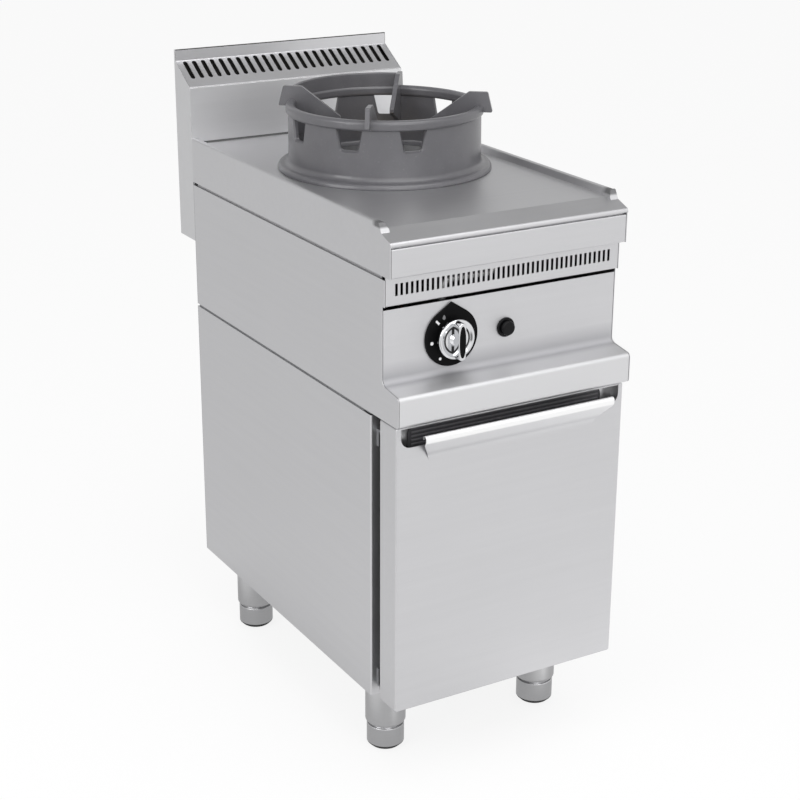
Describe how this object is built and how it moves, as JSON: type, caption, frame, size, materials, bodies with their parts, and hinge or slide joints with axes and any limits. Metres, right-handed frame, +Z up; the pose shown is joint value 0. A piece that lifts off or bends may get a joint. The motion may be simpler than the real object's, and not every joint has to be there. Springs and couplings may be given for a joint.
{
  "type": "gas wok range",
  "caption": "Narrow free-standing gas wok range: cast wok ring over a burner, sloping flue at the back, control panel with knob and igniter, and a cabinet with a hinged door on round feet",
  "frame": {"origin": "on the floor, in the middle of the overall footprint", "axes": "+X to the right seen from the front, +Y to the back (wall side), +Z up"},
  "size_m": [0.4, 0.756, 1.009],
  "materials": {
    "satin_steel": "satin, finely brushed stainless sheet",
    "bright_steel": "polished stainless sheet and edges",
    "inner_steel": "plain stainless and zinc-coated inner sheet",
    "ring_iron": "grey enamelled casting, soft sheen",
    "bowl_enamel": "dark vitreous enamel, glossy",
    "burner_iron": "raw casting",
    "brass_cap": "machined brass, dulled by heat",
    "dial_black": "black, slightly glossy",
    "grip_black": "black moulded, matt",
    "knob_chrome": "bright chromed metal",
    "foot_steel": "satin stainless",
    "tube_aluminium": "drawn tube",
    "tube_copper": "drawn copper-coloured tube",
    "lead_insulation": "silicone-covered ignition lead",
    "ceramic_white": "glazed ceramic sleeve"
  },
  "bodies": {
    "chassis": {"worktop": "satin_steel", "worktop_apron": "satin_steel", "spill_bowl": "bowl_enamel", "burner_body": "burner_iron", "burner_bracket": "inner_steel", "pilot_bracket": "inner_steel", "pilot_burner": "brass_cap", "spark_electrode": "ceramic_white", "thermocouple": "tube_copper", "pilot_tube": "tube_aluminium", "spark_lead": "lead_insulation", "unit_side_left": "satin_steel", "unit_side_right": "satin_steel", "unit_back": "inner_steel", "deck": "inner_steel", "vent_strip": "satin_steel", "control_panel": "satin_steel", "flue_box": "satin_steel", "flue_grille": "satin_steel", "cabinet_side_left": "satin_steel", "cabinet_side_right": "satin_steel", "cabinet_back": "inner_steel", "cabinet_floor": "inner_steel", "cabinet_rail_upper": "inner_steel", "cabinet_rail_lower": "inner_steel", "legs": "foot_steel", "hinge_lower": "inner_steel", "hinge_upper": "inner_steel", "magnet_catch": "grip_black", "dial_bezel": "dial_black", "gas_valve": "brass_cap", "igniter_body": "dial_black", "gas_inlet": "inner_steel", "supply_tube": "tube_aluminium", "injector": "brass_cap", "injector_bracket": "inner_steel"},
    "door": {"door_skin": "satin_steel", "door_pocket": "bright_steel", "door_grip": "grip_black", "door_liner": "inner_steel", "door_hinges": "inner_steel", "door_strike": "inner_steel"},
    "valve_spindle": {"valve_spindle": "inner_steel"},
    "knob": {"knob": "knob_chrome"},
    "igniter_button": {"igniter_button": "dial_black"},
    "wok_ring": {"wok_ring": "ring_iron"},
    "burner_head": {"burner_head": "burner_iron"},
    "burner_cap": {"burner_cap": "brass_cap"},
    "foot_front_left": {"foot_front_left": "foot_steel"},
    "foot_front_right": {"foot_front_right": "foot_steel"},
    "foot_back_left": {"foot_back_left": "foot_steel"},
    "foot_back_right": {"foot_back_right": "foot_steel"}
  },
  "joints": [
    {"name": "door_hinge", "type": "hinge", "parent": "chassis", "child": "door", "pos_m": [-0.185, -0.299, 0.358], "axis": [0, 0, 1], "range_deg": [-100, 0]},
    {"name": "valve_turn", "type": "hinge", "parent": "chassis", "child": "valve_spindle", "pos_m": [-0.0875, -0.32, 0.694], "axis": [0, -1, 0], "range_deg": [0, 150]},
    {"name": "knob_push", "type": "slide", "parent": "valve_spindle", "child": "knob", "axis": [0, 1, 0], "range_m": [0, 0.003], "stiffness_N_per_m": 800, "springref_m": -0.002},
    {"name": "button_push", "type": "slide", "parent": "chassis", "child": "igniter_button", "axis": [0, 1, 0], "range_m": [0, 0.004], "stiffness_N_per_m": 1200, "springref_m": -0.002},
    {"name": "ring_lift", "type": "slide", "parent": "chassis", "child": "wok_ring", "axis": [0, 0, 1], "range_m": [0, 0.15]},
    {"name": "head_lift", "type": "slide", "parent": "chassis", "child": "burner_head", "axis": [0, 0, 1], "range_m": [0, 0.12]},
    {"name": "cap_lift", "type": "slide", "parent": "burner_head", "child": "burner_cap", "axis": [0, 0, 1], "range_m": [0, 0.12]},
    {"name": "foot_front_left_screw", "type": "slide", "parent": "chassis", "child": "foot_front_left", "axis": [0, 0, -1], "range_m": [0, 0.05]},
    {"name": "foot_front_right_screw", "type": "slide", "parent": "chassis", "child": "foot_front_right", "axis": [0, 0, -1], "range_m": [0, 0.05]},
    {"name": "foot_back_left_screw", "type": "slide", "parent": "chassis", "child": "foot_back_left", "axis": [0, 0, -1], "range_m": [0, 0.05]},
    {"name": "foot_back_right_screw", "type": "slide", "parent": "chassis", "child": "foot_back_right", "axis": [0, 0, -1], "range_m": [0, 0.05]}
  ]
}
